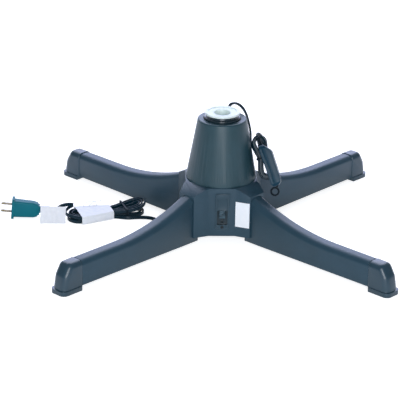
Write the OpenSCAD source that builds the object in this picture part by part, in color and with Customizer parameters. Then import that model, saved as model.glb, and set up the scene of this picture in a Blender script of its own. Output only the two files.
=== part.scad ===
// Rotating christmas tree stand: four curved legs plugged into a motor base, a cone
// cover, and a turntable that carries the pole sleeve and a tap for the tree's lights.
// Millimetres, Z up. The origin is on the floor under the pole axis, and the speed
// switch faces -Y. The legs stand on the diagonals.

/* [Base hub] */
// Distance from the axis to the flat front, side and back faces
face_dist = 57; // [56:0.25:60]
// Width of each flat face
face_w = 41; // [36:0.5:44]
// Distance from the axis to the mouth of each leg socket
mouth_r = 78.5; // [77:0.25:84]
// Wall of the sockets beside the legs
socket_wall = 2; // [1.5:0.1:3]
// Height of the lower rim above the floor
hub_z = 13; // [10:0.5:15]
// Height of the roof round the foot of the cone cover
roof_z = 94; // [93:0.25:100]
// Angle at which the roof falls over each leg
roof_pitch = 27; // [20:0.5:27.5]
// Wall behind the flat faces
hub_wall = 3.5; // [2.5:0.1:4]
// Bevel along the top of each flat face
face_bevel = 0.8; // [0.4:0.1:1.5]

/* [Legs] */
// Width of a leg
leg_w = 27; // [24:0.5:30]
// Radius of the rounded upper edges
leg_edge_r = 9.5; // [6:0.25:10]
// Height of the straight outer part of a leg
leg_crest_z = 47; // [44:0.5:48.5]
// Radius of the rising curve towards the hub
leg_arc_r = 387; // [380:1:420]
// Distance from the axis to the start of the rising curve
leg_arc_x = 235; // [225:1:238]
// Distance from the axis to the seam of the foot cap
leg_end_r = 317; // [290:1:340]
// Clearance under a leg at the hub
leg_lift = 5; // [4:0.25:7]
// Clearance under a leg at the foot cap
leg_tip_lift = 7; // [5:0.25:7.5]
// Wall of the hollow leg
leg_wall = 2.5; // [2:0.1:3.5]
// Length of the leg's tongue inside its socket
tongue_len = 12.5; // [8:0.5:14]
// Clearance of the tongue in its socket on each side
tongue_gap = 0.15; // [0.05:0.05:0.4]

/* [Foot caps] */
// Length of a foot cap beyond the seam
cap_len = 40; // [36:0.5:50]
// Width of a foot cap
cap_w = 28.4; // [27.5:0.1:30]
// Width of the flange on the floor
flange_w = 32; // [30:0.5:40]
// Thickness of the flange on the floor
flange_t = 7; // [4:0.25:8]

/* [Cone cover] */
// Diameter of the cone cover at its foot
cone_foot_d = 112.4; // [108:0.1:112.4]
// Diameter of the cone cover at its top
cone_top_d = 77.6; // [74:0.2:82]
// Height of the top of the cone cover
cone_top_z = 192; // [190:0.5:230]
// Wall of the cone cover
cone_wall = 2.5; // [2:0.1:3.5]
// Radius of the rounded top rim
rim_r = 3; // [2:0.1:3.5]

/* [Turntable] */
// Diameter of the dark collar
collar_d = 58; // [56:0.2:60]
// Diameter of the neck above the collar's shoulder
neck_d = 52; // [48:0.2:54]
// Diameter of the pole sleeve's flange
sleeve_flange_d = 55.6; // [52:0.2:60]
// Thickness of the pole sleeve's flange
sleeve_flange_t = 2.9; // [2.5:0.1:5]
// Diameter of the hole for the tree's pole
pole_d = 26; // [20:0.2:27]
// Depth of the hole for the tree's pole
pole_depth = 100; // [60:1:102]
// Outer diameter of the spindle tube
spindle_d = 37; // [36:0.1:40]
// Wall of the spindle tube
spindle_wall = 2.25; // [1.5:0.05:2.5]
// Running clearance of the journal and of the pivot on the radius
run_gap = 0.05; // [0.02:0.01:0.1]

/* [Drive] */
// Module of the gear pair
gear_module = 1.25; // [1:0.05:1.25]
// Teeth of the turntable gear
gear_teeth = 60; // [52:4:60]
// Teeth of the motor pinion
pinion_teeth = 15; // [12:1:15]
// Width of the gear's teeth
gear_face = 10; // [6:0.5:12]
// Play between the teeth
backlash = 0.2; // [0.1:0.02:0.3]
// Thickness of the steel bearing plate
bearing_t = 3; // [2:0.25:4]
// Diameter of the pivot pin
pivot_d = 10; // [8:0.5:11]
// Diameter of the gearmotor's can
motor_d = 43; // [38:0.5:43]
// Height of the gearmotor's can
motor_h = 22; // [18:0.5:26]

/* [Speed switch] */
// Width of the switch plate
plate_w = 21.8; // [21:0.1:26]
// Height of the switch plate
plate_h = 60; // [58:0.5:64]
// Thickness of the switch plate
plate_t = 1.5; // [1:0.1:2.5]
// Width of the window in the plate
window_w = 16.6; // [14:0.1:17]
// Height of the knob's window
window_h = 24; // [22:0.5:24]
// Width of the knob
knob_w = 9; // [7:0.1:10]
// Height of the knob
knob_h = 12.3; // [10:0.1:12.5]
// Travel of the knob between its end positions
knob_travel = 11; // [6:0.5:11]

/* [Cords] */
// Width of the flat cord
cord_w = 6; // [5:0.1:6]
// Thickness of the flat cord
cord_t = 3; // [2.4:0.1:3]
// Size of the mains plug's body: length, width, height
plug_size = [41, 17, 28]; // [14:0.5:45]
// Length of the plug's tapered strain relief
relief_len = 21; // [20:0.5:24]

/* [Outlet tap] */
// Thickness of the tap at its shoulder
tap_t = 18; // [16:0.25:19]
// Width of the tap
tap_w = 29; // [26:0.5:29]
// Length of the tap
tap_len = 70; // [66:0.5:72]
// Outer diameter of the hanging ring
ring_d = 15; // [14:0.2:16]
// Thickness of the hanging ring
ring_t = 3; // [2.4:0.1:3]

/* [Hidden] */
$fn = 96;

// Colours
BODY = "#46596a";
CAP = "#3f5261";
DARK = "#33454f";
CORD = "#14323c";
TEAL = "#0e7480";

// Directions of the legs: front left, back left, back right, front right
LEG_FL = 225;
LEG_BL = 135;
LEG_BR = 45;
LEG_FR = 315;
LEGS = [LEG_FL, LEG_BL, LEG_BR, LEG_FR];

// Hub
pocket_r = mouth_r - tongue_len;
mouth_w = leg_w + 2 * tongue_gap + 2 * socket_wall;
cavity_r = face_dist - hub_wall;
bottom_t = 3;
bottom_r = cavity_r + 1.5;
bottom_gap = 0.2;
floor_z = hub_z + bottom_t;
roof_t = 3;
throat_r = cone_foot_d / 2 - 6.2;

// Cone cover
cone_r0 = cone_foot_d / 2;
cone_r1 = cone_top_d / 2;
cone_slope = atan2(cone_r0 - cone_r1, cone_top_z - roof_z);
rim_c = [cone_r1 - rim_r * (1 - sin(cone_slope)) / cos(cone_slope), cone_top_z - rim_r];
rim_side = rim_c + rim_r * [cos(cone_slope), sin(cone_slope)];
top_t = 3;
collar_gap = 0.6;
boss_wall = 3;
boss_floor = 2;
lip_h = 3;
lip_gap = 0.2;

// Turntable heights
collar_z = cone_top_z - 4;
shoulder_z = cone_top_z + 3.7;
shoulder_r = 2.3;
sleeve_z = shoulder_z + 4.1;
sleeve_top = sleeve_z + sleeve_flange_t;
bush_h = 9.5;
bush_z = collar_z - 0.5 - bush_h;
journal_r = 24;
spindle_r = spindle_d / 2;
spindle_bore = spindle_r - spindle_wall;
sleeve_gap = 0.15;
pole_r = pole_d / 2;
stop_t = 2;

// Drive
bearing_z = 46;
bearing_top = bearing_z + bearing_t;
bush_flange_t = 2;
washer_t = 1;
gear_z = bearing_top + bush_flange_t + washer_t;
gear_top = gear_z + gear_face;
gear_pitch_r = gear_module * gear_teeth / 2;
pinion_pitch_r = gear_module * pinion_teeth / 2;
gear_cd = gear_pitch_r + pinion_pitch_r;
gear_boss_h = 6;
motor_dir = LEG_BR;
motor_c = cavity_r - 0.9 - motor_d / 2;
shaft_r = 2.5;
pivot_r = pivot_d / 2;
post_r = 5;
post_dist = cavity_r - 6.5;
POSTS = [0, 90, 165, 235];
screw_r = 1.5;
ear_r = 4.5;
ear_t = 2;
ear_dir = 125;
ear_dist = motor_d / 2 + 4;
brush_x0 = gear_pitch_r + gear_module + 1.6;
brush_x1 = 46;
ring_r0 = spindle_r + 4;
ring_r1 = ring_r0 + 3;
ring_h = 9.5;
ring_z = gear_top + gear_boss_h + 4;
ring_flange = 1.5;
brush_gap = 0.1;

// Switch
switch_x = 0.8;
switch_z = 25;
switch_y = -face_dist;
window_z = switch_z + 7.7;
bar_h = 1;
upper_h = 18.4;
pocket_depth = 4;
body_wall = 0.9;
body_depth = 10;
stem_w = 3.6;
stem_h = 8;
slide_gap = 0.15;
knob_z = window_z + window_h - 0.6 - knob_h;

// Cord measures
wound_gap = 0.6;
layer_step = cord_w + 0.7;

function unit(v) = v / norm(v);
function spin(a, p) = [p[0] * cos(a) - p[1] * sin(a), p[0] * sin(a) + p[1] * cos(a)];
function smooth(u) = u * u * (3 - 2 * u);
function cone_r(z) = cone_r0 - (z - roof_z) * tan(cone_slope);

// One side of the hub's outline: its flat face and the mouth of the next socket
function side_plan(k) =
    let (h = mouth_w / 2 / sqrt(2), m = mouth_r / sqrt(2))
    [for (p = [[-face_w / 2, -face_dist], [face_w / 2, -face_dist], [m - h, -m - h], [m + h, -m + h]])
        spin(90 * k, p)];
function hub_plan() = [for (k = [0:3]) each side_plan(k)];

// Involute gear outline with straight roots
function involute_deg(a) = tan(a) * 180 / PI - a;
function tooth_half(z, m, r) =
    let (rp = m * z / 2, rb = rp * cos(25), rr = max(r, rb))
    90 / z - backlash / 4 / rp * 180 / PI + involute_deg(25) - involute_deg(acos(rb / rr));
function tooth_radii(z, m, n) =
    let (rp = m * z / 2, lo = max(rp - 1.25 * m, rp * cos(25)), hi = rp + m)
    [for (i = [0:n]) lo + (hi - lo) * i / n];
function gear_outline(z, m, n) =
    let (rf = m * z / 2 - 1.25 * m, rs = tooth_radii(z, m, n))
    [for (t = [0:z - 1]) each concat(
        [rf * dir2(360 * t / z - tooth_half(z, m, rf))],
        [for (r = rs) if (r > rf + 0.01) r * dir2(360 * t / z - tooth_half(z, m, r))],
        [for (i = [len(rs) - 1:-1:0]) if (rs[i] > rf + 0.01)
            rs[i] * dir2(360 * t / z + tooth_half(z, m, rs[i]))],
        [rf * dir2(360 * t / z + tooth_half(z, m, rf))])];
function dir2(a) = [cos(a), sin(a)];

// Flat cord swept along points: ring section, tangents and faces
function section(n, w, t) = n == 6
    ? [[t / 2, w / 4], [0, w / 2], [-t / 2, w / 4], [-t / 2, -w / 4], [0, -w / 2], [t / 2, -w / 4]]
    : [[t / 2, w / 6], [t / 3, w / 2.3], [0, w / 2], [-t / 3, w / 2.3], [-t / 2, w / 6],
       [-t / 2, -w / 6], [-t / 3, -w / 2.3], [0, -w / 2], [t / 3, -w / 2.3], [t / 2, -w / 6]];
function tangent(pts, i) = unit(pts[min(i + 1, len(pts) - 1)] - pts[max(i - 1, 0)]);
function ring_at(pts, i, ref, roll, sec) =
    let (t = tangent(pts, i), s = unit(cross(ref, t)), u = cross(t, s))
    let (a = s * cos(roll) + u * sin(roll), b = u * cos(roll) - s * sin(roll))
    [for (q = sec) pts[i] + a * q[0] + b * q[1]];
function rings(pts, refs, rolls, sec) =
    [for (i = [0:len(pts) - 1]) ring_at(pts, i, refs[i], rolls[i], sec)];
function between(a, b, n) = [for (i = [0:n - 1]) a + (b - a) * i / (n - 1)];
function same(v, n) = [for (i = [0:n - 1]) v];

module sweep(rs) {
    n = len(rs[0]);
    m = len(rs);
    pts = [for (r = rs) each r];
    side = [for (i = [0:m - 2], k = [0:n - 1])
        let (a = i * n + k, b = i * n + (k + 1) % n)
        each [[a, a + n, b], [b, a + n, b + n]]];
    first = [for (k = [1:n - 2]) [0, k, k + 1]];
    last = [for (k = [1:n - 2]) [(m - 1) * n, (m - 1) * n + k + 1, (m - 1) * n + k]];
    polyhedron(points = pts, faces = concat(side, first, last), convexity = 10);
}

// Smooth curve through chosen points, with n steps between each two
function curve_pt(a, b, c, d, u) =
    0.5 * ((2 * b) + (c - a) * u + (2 * a - 5 * b + 4 * c - d) * u * u
        + (3 * b - a - 3 * c + d) * u * u * u);
function curve(p, n) =
    let (k = len(p) - 1)
    concat([for (i = [0:k - 1], j = [0:n - 1])
        curve_pt(p[max(i - 1, 0)], p[i], p[i + 1], p[min(i + 2, k)], j / n)], [p[k]]);
function route_len(p) = len(p) < 2 ? 0
    : [for (i = 1, s = norm(p[1] - p[0]); i < len(p); i = i + 1,
        s = s + (i < len(p) ? norm(p[i] - p[i - 1]) : 0)) s][len(p) - 2];

// Hank: the loops spiral in on the first layer, climb along a run at the middle and
// spiral out on the second. Turn 0 is the waist of the front run, 0.25 the left end.
function hank_q(s, m) = s < m + 0.25 ? m + 0.25 - s : s < m + 0.75
    ? -0.8 * sin(360 * (s - m - 0.25)) : s - m - 0.75;
function hank_rise(s, m) = s < m + 0.25 ? 0 : s > m + 0.75 ? 1 : smooth(2 * (s - m - 0.25));
// s turns, m turns inwards, L half length, w waist and e end half-widths of the inmost loop,
// dw, de and dl their steps a loop
function hank_pt(s, m, L, w, e, dw, de, dl, splay) =
    let (f = s - floor(s), q = hank_q(s, m), ww = w + dw * q, ee = e + de * max(q, -0.3))
    let (ll = L + dl * q, xc = ll - ee)
    let (p = f < 0.125 ? run_pt(-f / 0.125, -1, xc, ww, ee)
        : f < 0.375 ? turn_pt((f - 0.125) / 0.25, -1, xc, ee)
        : f < 0.625 ? run_pt((f - 0.5) / 0.125, 1, xc, ww, ee)
        : f < 0.875 ? turn_pt((f - 0.625) / 0.25, 1, xc, ee)
        : run_pt((1 - f) / 0.125, -1, xc, ww, ee))
    let (far = max(p[0] / L, 0), z = cord_w / 2 + layer_step * hank_rise(s, m))
    [p[0], p[1], z * (1 + splay * far * far * hank_rise(s, m))];
function run_pt(u, side, xc, w, e) = [u * xc, side * (w + (e - w) * smooth(min(abs(u), 1)))];
function turn_pt(u, side, xc, e) = [side * (xc + e * sin(180 * u)), side * e * cos(180 * u)];
function hank_path(s0, s1, m, L, w, e, dw, de, dl, splay) =
    [for (i = [round(s0 * 24):round(s1 * 24)]) hank_pt(i / 24, m, L, w, e, dw, de, dl, splay)];

// Least distance between the tube's own surface points, rings closer than half a loop left out
function ring_gap(a, b) = min([for (p = a, q = b) norm(p - q)]);
function mid_rings(rs) = [for (i = [0:len(rs) - 2]) each [rs[i],
    [for (k = [0:len(rs[0]) - 1]) (rs[i][k] + rs[i + 1][k]) / 2]]];
function centre(r) = (r[0] + r[floor(len(r) / 2)]) / 2;
function least_gap(rs) =
    let (c = [for (r = rs) centre(r)])
    min([for (i = [0:len(rs) - 1], j = [i + 12:1:len(rs) - 1])
        if (norm(c[i] - c[j]) < 11) ring_gap(rs[i], rs[j])]);

// ---- hub and covers ----
module roof_planes() {
    for (a = LEGS)
        rotate([0, 0, a])
            translate([cone_r0 + 0.6, 0, roof_z])
                rotate([0, roof_pitch, 0])
                    translate([0, -mouth_r, 0])
                        cube([2 * mouth_r, 2 * mouth_r, 40]);
}

// Section of a leg or its socket, standing on the 2D x axis
module arch(w, h, r) {
    translate([-w / 2, 0]) square([w, h - r]);
    translate([-w / 2 + r, 0]) square([w - 2 * r, h]);
    for (s = [-1, 1]) translate([s * (w / 2 - r), h - r]) circle(r);
}

module base_hub() color(BODY) difference() {
    translate([0, 0, hub_z]) linear_extrude(roof_z - hub_z) polygon(hub_plan());
    roof_planes();
    for (k = [0:3])
        rotate([0, 0, 90 * k])
            rotate([90, 0, 90])
                linear_extrude(face_w + 12, center = true)
                    polygon([[-face_dist - 2, roof_z - face_bevel - 2],
                        [-face_dist + face_bevel + 2, roof_z + 2], [-face_dist - 2, roof_z + 2]]);
    translate([0, 0, hub_z - 1]) cylinder(h = roof_z - roof_t - hub_z + 1, r = cavity_r);
    translate([0, 0, hub_z - 1]) cylinder(h = bottom_t + 1, r = bottom_r);
    translate([0, 0, hub_z]) cylinder(h = roof_z, r = throat_r);
    for (a = LEGS)
        rotate([0, 0, a]) intersection() {
            crest_sweep(-tongue_gap, 100);
            translate([pocket_r, -mouth_w, hub_z - 1]) cube([mouth_r - pocket_r + 10, 2 * mouth_w, 90]);
        }
    rotate([0, 0, motor_dir])
        translate([gear_cd, 0, bearing_z - 4])
            cylinder(h = gear_top - bearing_z + 8, r = pinion_pitch_r + gear_module + 1.2);
    translate([switch_x - switch_body_w() / 2, -face_dist - 1, window_z - body_wall])
        cube([switch_body_w(), hub_wall + 4, switch_body_h()]);
    translate([switch_x, 0, switch_z + 3.8]) rotate([90, 0, 0]) cylinder(h = face_dist + 2, r = 1.2);
    translate([0, 0, gland_z]) rotate([0, -90, 0]) cylinder(h = face_dist + 2, r = gland_neck_r);
}

module cone_cover() color(BODY) rotate_extrude() {
    boss_r = collar_d / 2 + collar_gap + boss_wall;
    difference() {
        union() {
            polygon([[0, roof_z], [cone_r0, roof_z], rim_side, rim_c, [rim_c[0], cone_top_z],
                [0, cone_top_z]]);
            translate(rim_c) circle(rim_r);
        }
        polygon([[0, roof_z - 1], [cone_r0 - cone_wall + tan(cone_slope), roof_z - 1],
            [cone_r(cone_top_z - top_t) - cone_wall, cone_top_z - top_t], [0, cone_top_z - top_t]]);
        translate([-1, roof_z]) square([collar_d / 2 + collar_gap + 1, cone_top_z]);
    }
    translate([collar_d / 2 + collar_gap, bush_z])
        square([boss_wall, cone_top_z - top_t - bush_z]);
    translate([journal_r + 0.6, bush_z - boss_floor])
        square([boss_r - journal_r - 0.6, boss_floor]);
    translate([throat_r - lip_gap - cone_wall, roof_z - lip_h])
        square([cone_wall, lip_h]);
    translate([throat_r - lip_gap - cone_wall, roof_z])
        square([cone_r0 - cone_wall + 0.4 - throat_r + lip_gap + cone_wall, 2]);
}

module bottom_plate() color(DARK) {
    difference() {
        translate([0, 0, hub_z]) cylinder(h = bottom_t, r = bottom_r - bottom_gap);
        for (a = LEGS)
            rotate([0, 0, a]) translate([28, 0, hub_z - 1]) for (j = [-2:2])
                translate([0, j * 5 - 1, 0]) cube([11, 2, bottom_t + 2]);
        for (a = POSTS)
            rotate([0, 0, a]) translate([post_dist, 0, hub_z - 1])
                cylinder(h = 2.2, r = 2 * screw_r);
    }
    for (a = POSTS)
        rotate([0, 0, a]) translate([post_dist, 0, floor_z - 1])
            cylinder(h = bearing_z - floor_z + 1, r = post_r);
}

module plate_screws() color("silver") for (a = POSTS)
    rotate([0, 0, a]) translate([post_dist, 0, hub_z - 0.4]) cylinder(h = 1.6, r = 2 * screw_r - 0.1);

module bearing_plate() color("silver") difference() {
    translate([0, 0, bearing_z]) cylinder(h = bearing_t, r = cavity_r - 1);
    translate([0, 0, bearing_z - 1]) cylinder(h = bearing_t + 2, r = pivot_r + 3);
    rotate([0, 0, motor_dir]) translate([gear_cd, 0, bearing_z - 1])
        cylinder(h = bearing_t + 2, r = shaft_r + 3.2);
    translate([switch_x - 12, -face_dist, bearing_z - 1]) cube([24, 16, bearing_t + 2]);
}

module screw_head(r, h) {
    difference() {
        cylinder(h = h, r = r);
        for (a = [0, 90]) rotate([0, 0, a]) translate([-r * 0.6, -0.35, h * 0.5]) cube([r * 1.2, 0.7, h]);
    }
}

module bearing_screws() color("silver") for (a = POSTS)
    rotate([0, 0, a]) translate([post_dist, 0, bearing_top]) screw_head(2 * screw_r, 2);

module lower_bush() color("#b08d57") difference() {
    union() {
        translate([0, 0, bearing_z - 3]) cylinder(h = bearing_t + 3, r = pivot_r + 3);
        translate([0, 0, bearing_top]) cylinder(h = bush_flange_t, r = pivot_r + 6);
    }
    translate([0, 0, bearing_z - 4]) cylinder(h = bearing_t + 8, r = pivot_r + run_gap);
}

module thrust_washer() color("#d8d2c0") difference() {
    translate([0, 0, bearing_top + bush_flange_t]) cylinder(h = washer_t, r = pivot_r + 6);
    translate([0, 0, bearing_top]) cylinder(h = 5, r = pivot_r + 0.4);
}

module upper_bush() color("#b08d57") difference() {
    translate([0, 0, bush_z]) cylinder(h = bush_h, r = collar_d / 2 + collar_gap);
    translate([0, 0, bush_z - 1]) cylinder(h = bush_h + 2, r = journal_r + run_gap);
}

module at_ear(s) {
    rotate([0, 0, motor_dir])
        translate([motor_c + ear_dist * cos(ear_dir), s * ear_dist * sin(ear_dir), 0])
            children();
}

// Outline of the motor's flange: an arm to each screw
module motor_flange() difference() {
    union() {
        circle(ear_r + 4);
        for (s = [-1, 1]) rotate(s * ear_dir) {
            translate([0, -ear_r]) square([ear_dist, 2 * ear_r]);
            translate([ear_dist, 0]) circle(ear_r);
        }
    }
    for (s = [-1, 1]) rotate(s * ear_dir) translate([ear_dist, 0]) circle(screw_r);
}

module gearmotor() color("#8c9094") rotate([0, 0, motor_dir]) difference() {
    union() {
        translate([motor_c, 0, bearing_z - ear_t - motor_h]) cylinder(h = motor_h, r = motor_d / 2);
        translate([motor_c, 0, bearing_z - ear_t]) linear_extrude(ear_t) motor_flange();
        translate([gear_cd, 0, bearing_z - ear_t - 1]) cylinder(h = ear_t + 4, r = shaft_r + 2.4);
    }
    translate([gear_cd, 0, bearing_z - ear_t - 4]) cylinder(h = 20, r = shaft_r + run_gap);
}

module motor_screws() color("silver") for (s = [-1, 1]) at_ear(s) {
    translate([0, 0, bearing_z - ear_t - 1.8]) cylinder(h = 1.8, r = 2 * screw_r);
    translate([0, 0, bearing_z - ear_t]) cylinder(h = ear_t, r = screw_r);
}

module brush_block() color("#3a2b22") {
    translate([-brush_x1, -7, bearing_top])
        cube([brush_x1 - brush_x0, 14, ring_z + 2 * ring_h + 4 - bearing_top]);
    translate([-brush_x1, -7, ring_z]) cube([brush_x1 - ring_r1 - 5.5, 14, 2 * ring_h + 4]);
}

module brushes() color("#2c2c2e") for (k = [0, 1])
    translate([-ring_r1 - 5.5, -2.5, ring_z + ring_flange + 2 + k * (ring_h + ring_flange)])
        cube([5.5 - brush_gap, 5, 5]);

// ---- switch on the front face ----
function switch_body_w() = window_w + 2 * body_wall;
function switch_body_h() = window_h + bar_h + upper_h + 2 * body_wall;

module switch_plate() color(BODY) difference() {
    translate([switch_x - plate_w / 2, switch_y - plate_t, switch_z]) cube([plate_w, plate_t, plate_h]);
    translate([switch_x - window_w / 2, switch_y - plate_t - 1, window_z])
        cube([window_w, plate_t + 2, window_h]);
    translate([switch_x - window_w / 2, switch_y - plate_t - 1, window_z + window_h + bar_h])
        cube([window_w, 1 + plate_t * 0.6, upper_h]);
    translate([switch_x, 0, switch_z + 3.8])
        rotate([90, 0, 0]) cylinder(h = face_dist + plate_t + 1, r = 2.7);
}

module switch_screw() color("#2a3338") translate([switch_x, switch_y, switch_z + 3.8])
    rotate([90, 0, 0]) screw_head(2.4, plate_t * 0.6);

module switch_body() color(DARK) difference() {
    translate([switch_x - switch_body_w() / 2, switch_y, window_z - body_wall])
        cube([switch_body_w(), body_depth, switch_body_h()]);
    translate([switch_x - window_w / 2, switch_y - 1, window_z])
        cube([window_w, pocket_depth - plate_t + 1, window_h]);
    translate([switch_x - stem_w / 2 - slide_gap, switch_y - 1,
        knob_z - knob_travel + (knob_h - stem_h) / 2 - slide_gap])
        cube([stem_w + 2 * slide_gap, pocket_depth + 5, stem_h + knob_travel + 2 * slide_gap]);
}

module switch_knob() color("#51656f") {
    y0 = switch_y + pocket_depth - plate_t - slide_gap;
    translate([switch_x - knob_w / 2, y0 - 3.4, knob_z]) cube([knob_w, 3.4, knob_h]);
    for (k = [0:3])
        translate([switch_x - knob_w / 2 + 0.8, y0 - 4, knob_z + 1.6 + k * 2.7])
            cube([knob_w - 1.6, 0.6, 1.2]);
    translate([switch_x - stem_w / 2, y0, knob_z + (knob_h - stem_h) / 2]) cube([stem_w, 4, stem_h]);
}

// Thin bare sticker on the flank between the front face and the right front leg
sticker_z = 30;
module flank_sticker() color("#a9b9c4") {
    a = side_plan(0)[1];
    b = side_plan(0)[2];
    translate([a[0], a[1], sticker_z])
        rotate([0, 0, atan2(b[1] - a[1], b[0] - a[0])])
            translate([1.2, -0.3, 0]) cube([norm(b - a) - 2.4, 0.3, roof_z - sticker_z - 22]);
}

// ---- legs and foot caps ----
// Leg section lying with its crest at x = 0 and its depth along +x
module crest_section(w, d, r) {
    translate([r, -w / 2]) square([d - r, w]);
    translate([0, -w / 2 + r]) square([d, w - 2 * r]);
    for (s = [-1, 1]) translate([r, s * (w / 2 - r)]) circle(r);
}

// The rising crest curve swept from the socket outwards, inset by t all round
module crest_sweep(t, depth) {
    turn = asin((leg_arc_x - pocket_r + 12) / leg_arc_r);
    translate([leg_arc_x, 0, leg_crest_z + leg_arc_r])
        rotate([90, 0, 0])
            rotate([0, 0, 270 - turn])
                rotate_extrude(angle = turn, $fn = 240)
                    translate([leg_arc_r + t, 0]) crest_section(leg_w - 2 * t, depth, leg_edge_r - t);
}

// The straight outer part, let into the end of the curve and a hair smaller all round
module crest_run(t, depth, x1) {
    inset = t + seam_step;
    translate([leg_arc_x - seam_lap, 0, leg_crest_z - inset])
        rotate([0, 90, 0])
            linear_extrude(x1 - leg_arc_x + seam_lap)
                crest_section(leg_w - 2 * inset, depth, leg_edge_r - inset);
}

module side_profile(pts, w) {
    rotate([90, 0, 0]) linear_extrude(w, center = true) polygon(pts);
}

spigot_len = 15;
spigot_in = 3;
rib_t = 2;
RIBS = [118, 160, 202, 244, 286];
// Overlap and step where the straight part of a leg meets the curve
seam_lap = 2;
seam_step = 0.03;
// Height of the leg's crest inside the socket
leg_top_z = leg_crest_z + leg_arc_r - sqrt(leg_arc_r * leg_arc_r - pow(leg_arc_x - pocket_r, 2));
flange_edge_r = 0.28 * flange_w;

module leg(a) color(BODY) rotate([0, 0, a]) {
    difference() {
        intersection() {
            union() {
                crest_sweep(0, 90);
                crest_run(0, 60, leg_end_r);
            }
            side_profile([[pocket_r, leg_lift], [mouth_r + 20, leg_lift], [leg_end_r, leg_tip_lift],
                [leg_end_r, leg_top_z + 1], [pocket_r, leg_top_z + 1]], leg_w + 2);
        }
        difference() {
            intersection() {
                union() {
                    crest_sweep(leg_wall, 100);
                    crest_run(leg_wall, 70, leg_end_r - leg_wall);
                }
                side_profile([[pocket_r + leg_wall, -5], [leg_end_r - leg_wall, -5],
                    [leg_end_r - leg_wall, leg_top_z], [pocket_r + leg_wall, leg_top_z]], leg_w + 2);
            }
            for (x = RIBS) translate([x, -leg_w, leg_lift + 6]) cube([rib_t, 2 * leg_w, leg_top_z]);
        }
    }
    translate([leg_end_r - leg_wall, -leg_w / 2 + spigot_in, leg_tip_lift + spigot_in])
        cube([spigot_len + leg_wall, leg_w - 2 * spigot_in, leg_crest_z - leg_tip_lift - 2 * spigot_in]);
}

module leg_fl() leg(LEG_FL);
module leg_bl() leg(LEG_BL);
module leg_br() leg(LEG_BR);
module leg_fr() leg(LEG_FR);

module foot_cap(a) color(CAP) rotate([0, 0, a]) {
    tip = leg_end_r + cap_len;
    crest = leg_crest_z + 0.6;
    difference() {
        hull() {
            translate([leg_end_r, 0, 0]) rotate([90, 0, 90]) linear_extrude(0.4)
                translate([0, flange_t - 1])
                    arch(leg_w - 0.8, leg_crest_z + 0.6 - flange_t, leg_edge_r, $fn = 32);
            translate([leg_end_r + 1, 0, 0]) rotate([90, 0, 90]) linear_extrude(1)
                translate([0, flange_t - 1]) arch(cap_w, crest - flange_t + 1, leg_edge_r, $fn = 32);
            for (s = [-1, 1]) {
                translate([tip - 22, s * (cap_w / 2 - 10), crest - 10]) sphere(10, $fn = 24);
                translate([tip - 15, s * (cap_w / 2 - 10), 26]) sphere(10, $fn = 24);
                translate([tip - 12.5, s * (cap_w / 2 - 11), flange_t - 1]) cylinder(h = 6, r = 11, $fn = 32);
            }
        }
        translate([leg_end_r - 1, -leg_w / 2 + spigot_in - tongue_gap, leg_tip_lift + spigot_in - tongue_gap])
            cube([spigot_len + 1.5, leg_w - 2 * spigot_in + 2 * tongue_gap,
                leg_crest_z - leg_tip_lift - 2 * spigot_in + 2 * tongue_gap]);
    }
    linear_extrude(flange_t) {
        translate([leg_end_r + 3, -flange_w / 2]) square([cap_len - 2 - flange_edge_r, flange_w]);
        translate([leg_end_r + 3, -flange_w / 2 + flange_edge_r])
            square([cap_len - 2, flange_w - 2 * flange_edge_r]);
        for (s = [-1, 1])
            translate([tip + 1 - flange_edge_r, s * (flange_w / 2 - flange_edge_r)]) circle(flange_edge_r);
    }
}

module foot_cap_fl() foot_cap(LEG_FL);
module foot_cap_bl() foot_cap(LEG_BL);
module foot_cap_br() foot_cap(LEG_BR);
module foot_cap_fr() foot_cap(LEG_FR);

// ---- turntable ----
module turntable_collar() color(DARK) {
    cr = collar_d / 2;
    rotate_extrude() difference() {
        union() {
            translate([0, bush_z - 1]) square([journal_r, collar_z - bush_z + 2]);
            translate([0, collar_z]) square([cr, shoulder_z - shoulder_r - collar_z]);
            translate([0, collar_z]) square([cr - shoulder_r, shoulder_z - collar_z]);
            translate([cr - shoulder_r, shoulder_z - shoulder_r]) circle(shoulder_r);
            translate([0, collar_z]) square([neck_d / 2, sleeve_z - collar_z]);
        }
        translate([-1, bush_z - 2]) square([spindle_r + 1, shoulder_z - bush_z + 2.3]);
        translate([-1, bush_z - 2]) square([spindle_bore + 1, 40]);
    }
    rotate([0, 0, outlet_dir])
        translate([neck_d / 2 - 2, -outlet_w / 2, cone_top_z + 0.6])
            cube([outlet_r - neck_d / 2 + 2, outlet_w, sleeve_z - cone_top_z - 0.9]);
}

module pole_sleeve() color("#e8f0f0") rotate_extrude() difference() {
    fr = sleeve_flange_d / 2;
    union() {
        translate([0, sleeve_z]) square([fr, sleeve_flange_t - 0.7]);
        translate([0, sleeve_z]) square([fr - 0.7, sleeve_flange_t]);
        translate([fr - 0.7, sleeve_top - 0.7]) circle(0.7, $fn = 32);
        translate([0, sleeve_top - pole_depth - stop_t])
            square([spindle_bore - sleeve_gap, pole_depth + stop_t - 1]);
    }
    translate([-1, sleeve_top - pole_depth]) square([pole_r + 1, pole_depth + 1]);
    polygon([[fr - 4.7, sleeve_top + 0.1], [fr - 4.4, sleeve_top - 1], [fr - 5.2, sleeve_top - 1],
        [pole_r + 1, sleeve_top - 1.7], [pole_r + 1, sleeve_top + 0.1]]);
    translate([pole_r - 1, sleeve_top - 2.4]) square([2, 3]);
}

module spindle_tube() color("#b9bec2") difference() {
    translate([0, 0, gear_top]) cylinder(h = shoulder_z + 0.3 - gear_top, r = spindle_r);
    translate([0, 0, gear_top - 1]) cylinder(h = shoulder_z, r = spindle_bore);
}

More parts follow.
